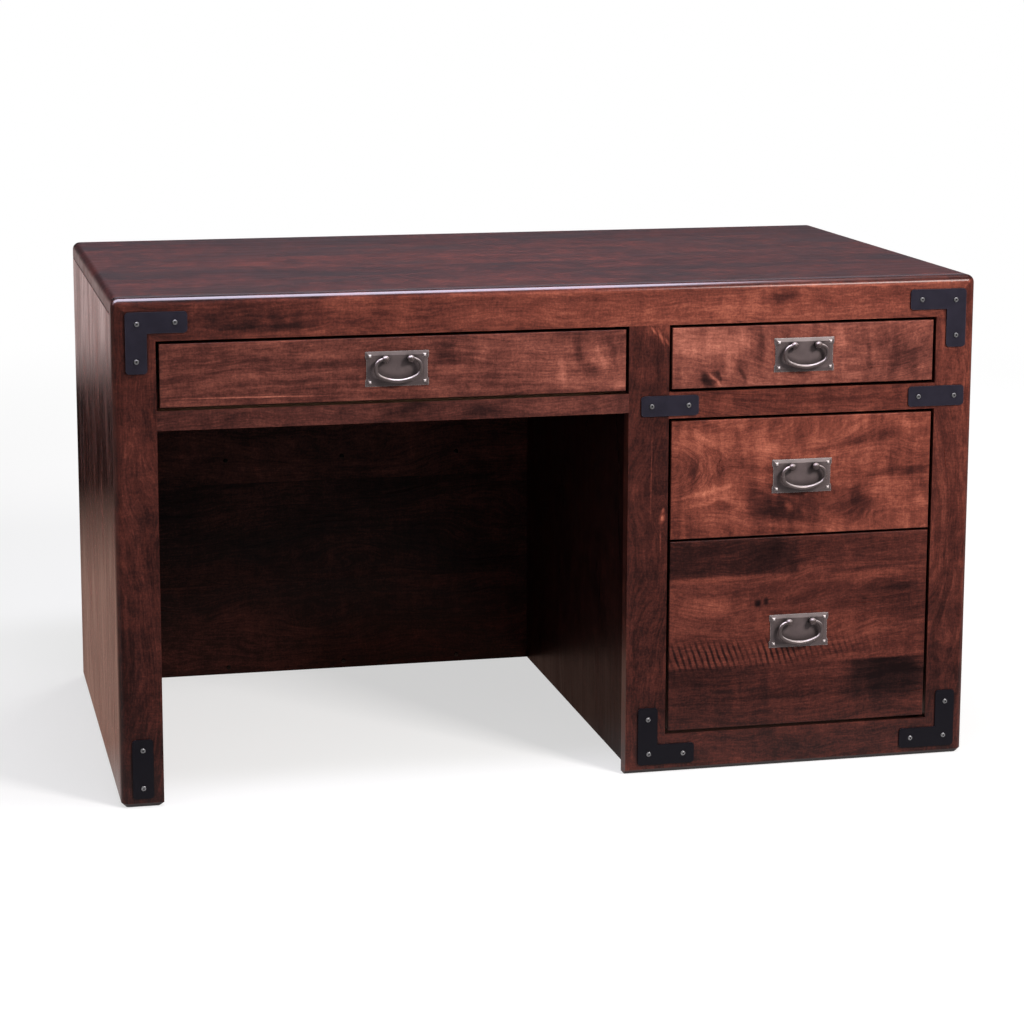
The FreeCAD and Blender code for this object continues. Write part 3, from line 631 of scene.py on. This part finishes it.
def revolved(profile):
    """Points and faces of a surface of revolution about Z, through (radius, height) pairs."""
    verts, faces = [], []
    for radius, height in profile:
        for i in range(RING_STEPS):
            a = 2 * math.pi * i / RING_STEPS
            verts.append((radius * math.cos(a), radius * math.sin(a), height))
    for row in range(len(profile) - 1):
        low, high = row * RING_STEPS, (row + 1) * RING_STEPS
        for i in range(RING_STEPS):
            j = (i + 1) % RING_STEPS
            faces.append((low + i, low + j, high + j, high + i))
    return verts, faces


def gloss_only(obj):
    obj.visible_camera = False
    obj.visible_diffuse = False
    obj.visible_shadow = False
    obj.visible_transmission = False


def floor():
    """Pale floor that keeps the shadow near the desk and fades to white away from it."""
    s = Shader("floor_pale")
    place = s.coordinates()
    axes = s.axes(place)
    seen = s.add("ShaderNodeLightPath").outputs["Is Camera Ray"]
    under_x = s.window(axes["X"], *UNDER_X, UNDER_SOFT)
    under_y = s.window(axes["Y"], *UNDER_Y, UNDER_SOFT)
    under = s.math("MULTIPLY", under_x, under_y)
    far = s.spread(s.vector("LENGTH", place), FADE_NEAR, FADE_FAR, FADE_LEAST, 1.0)
    far = s.math("MULTIPLY", s.math("MULTIPLY", far, seen), s.math("SUBTRACT", 1.0, under))
    tint = s.blend(seen, FLOOR_BOUNCE, FLOOR_SEEN)
    plain = s.add("ShaderNodeBsdfDiffuse", {"Color": tint}).outputs[0]
    mix = s.add("ShaderNodeMixShader", {0: far, 1: plain, 2: s.emission(WHITE, 1.0)})
    profile = [(radius, 0.0) for radius in FLOOR_RINGS]
    obj = stage_object("floor", *revolved(profile), s.finish(mix.outputs[0]))
    obj.visible_glossy = False


def room():
    """The dim room around the studio: gloss shows it, and nothing else sees it."""
    s = Shader("room_dim")
    x, y, z = s.axes(s.coordinates())
    near = s.ramp(s.spread(y, -ROOM_R, ROOM_R, smooth=False), ROOM_FLOOR)
    dim = tuple(ROOM_LEFT_SHARE * c for c in ROOM_WALL)
    behind = s.blend(s.spread(x, *ROOM_LEFT), ROOM_WALL, dim)
    wall = s.blend(s.spread(y, *ROOM_BEHIND), ROOM_FRONT, behind)
    level = s.blend(s.spread(z, *WALL_START), near, wall)
    aside = s.math("DIVIDE", x, s.plus(1.0, y, CEILING_TAPER))
    ceiling = CEILING_DARK
    for colour, (full, gone) in ((CEILING_WARM, CEILING_WARM_FADE), (CEILING_LIT, CEILING_FADE)):
        lit = s.spread(aside, gone, full)
        for ends in (CEILING_FRONT, CEILING_REAR):
            lit = s.math("MULTIPLY", lit, s.spread(y, *ends))
        ceiling = s.blend(lit, ceiling, colour)
    level = s.blend(s.spread(z, *CEILING_START), level, ceiling)
    profile = [(radius, -ROOM_DROP) for radius in ROOM_RINGS]
    profile += [(ROOM_R, ROOM_H), (ROOM_RINGS[0], ROOM_H)]
    gloss_only(stage_object("room", *revolved(profile), s.finish(s.emission(level, 1.0))))


def world():
    """Even light on surfaces, and white for rays of the camera, gloss and glass that leave the stage."""
    scene = bpy.context.scene
    scene.world = bpy.data.worlds.new("studio")
    scene.world.use_nodes = True
    tree = scene.world.node_tree
    path = tree.nodes.new("ShaderNodeLightPath").outputs
    seen = path["Is Camera Ray"]
    for ray in ("Is Glossy Ray", "Is Transmission Ray"):
        either = tree.nodes.new("ShaderNodeMath")
        either.operation = "MAXIMUM"
        tree.links.new(seen, either.inputs[0])
        tree.links.new(path[ray], either.inputs[1])
        seen = either.outputs[0]
    level = tree.nodes.new("ShaderNodeMapRange")
    level.inputs["To Min"].default_value = AMBIENT
    level.inputs["To Max"].default_value = 1.0
    tree.links.new(seen, level.inputs["Value"])
    back = tree.nodes["Background"]
    tree.links.new(level.outputs[0], back.inputs["Strength"])
    back.inputs["Color"].default_value = (*WHITE, 1.0)


def softbox(name, place, target, width, height, power, colour=WHITE):
    """Area lamp for the light on surfaces; gloss sees the room and the glow panel instead."""
    lamp = bpy.data.lights.new(name, "AREA")
    lamp.shape = "RECTANGLE"
    lamp.size = width
    lamp.size_y = height
    lamp.energy = power
    lamp.color = colour
    obj = bpy.data.objects.new(name, lamp)
    obj.location = place
    obj.rotation_euler = (Vector(target) - Vector(place)).to_track_quat("-Z", "Y").to_euler()
    obj.visible_glossy = False
    bpy.context.scene.collection.objects.link(obj)
    return obj


# Where a glow panel starts to fade, as a share of the way to its edge
GLOW_FULL = 0.3


def glow(name, lamp, width, height, colour, strength):
    """Soft panel at a lamp, for gloss alone, brightest in its middle."""
    w, h = width / 2, height / 2
    s = Shader(name)
    reach = s.vector("LENGTH", s.vector("DIVIDE", s.coordinates(), (w, h, 1.0)))
    level = s.spread(reach, 1.0, GLOW_FULL, 0.0, strength)
    corners = [(-w, -h, 0.0), (w, -h, 0.0), (w, h, 0.0), (-w, h, 0.0)]
    obj = stage_object(name, corners, [(0, 1, 2, 3)], s.finish(s.emission(colour, level)))
    obj.location = lamp.location
    obj.rotation_euler = lamp.rotation_euler
    gloss_only(obj)


def lamps():
    key = softbox("key", place=(1.7, -2.7, 2.3), target=(0.2, -0.3, 0.45), width=0.8, height=0.6, power=125.0,
                  colour=(1.0, 0.96, 0.93))
    glow("key_glow", key, width=2.0, height=1.5, colour=(1.0, 0.94, 0.90), strength=9.0)
    softbox("overhead", place=(-0.10, -0.75, 2.9), target=(-0.2, -0.4, 0.75), width=1.2, height=0.50,
            power=40.0, colour=(0.90, 0.90, 1.0))
    softbox("side", place=(-3.2, -1.6, 1.2), target=(-0.66, -0.1, 0.4), width=1.4, height=1.4, power=16.0)
    softbox("rear", place=(1.6, 3.4, 2.2), target=(0.0, 0.3, 0.4), width=1.6, height=1.2, power=60.0)


# Camera at the photograph's viewing angle: metres, degrees and millimetres
CAMERA_PLACE = (-0.9806, -4.2295, 1.2732)
CAMERA_YAW = 12.389
CAMERA_PITCH = -9.717
CAMERA_LENS = 94.765
CAMERA_SENSOR = 36.0
CAMERA_SHIFT = (0.04, -0.11)
CAMERA_FAR = 200.0


def camera():
    """Camera where the photograph was taken from."""
    data = bpy.data.cameras.new("camera")
    data.sensor_width = CAMERA_SENSOR
    data.lens = CAMERA_LENS
    data.shift_x, data.shift_y = CAMERA_SHIFT
    data.clip_end = CAMERA_FAR
    obj = bpy.data.objects.new("camera", data)
    obj.location = CAMERA_PLACE
    obj.rotation_euler = Euler((math.radians(90.0 + CAMERA_PITCH), 0.0, math.radians(-CAMERA_YAW)))
    bpy.context.scene.collection.objects.link(obj)
    bpy.context.scene.camera = obj


paint_rails()
paint_stiles()
paint_pencil_front()
paint_upper_front()
paint_middle_front()
paint_file_front()
paint_panels()
paint_drawer_boxes()
paint_metalwork()
floor()
room()
world()
lamps()
camera()
bpy.context.scene.view_settings.view_transform = "Standard"
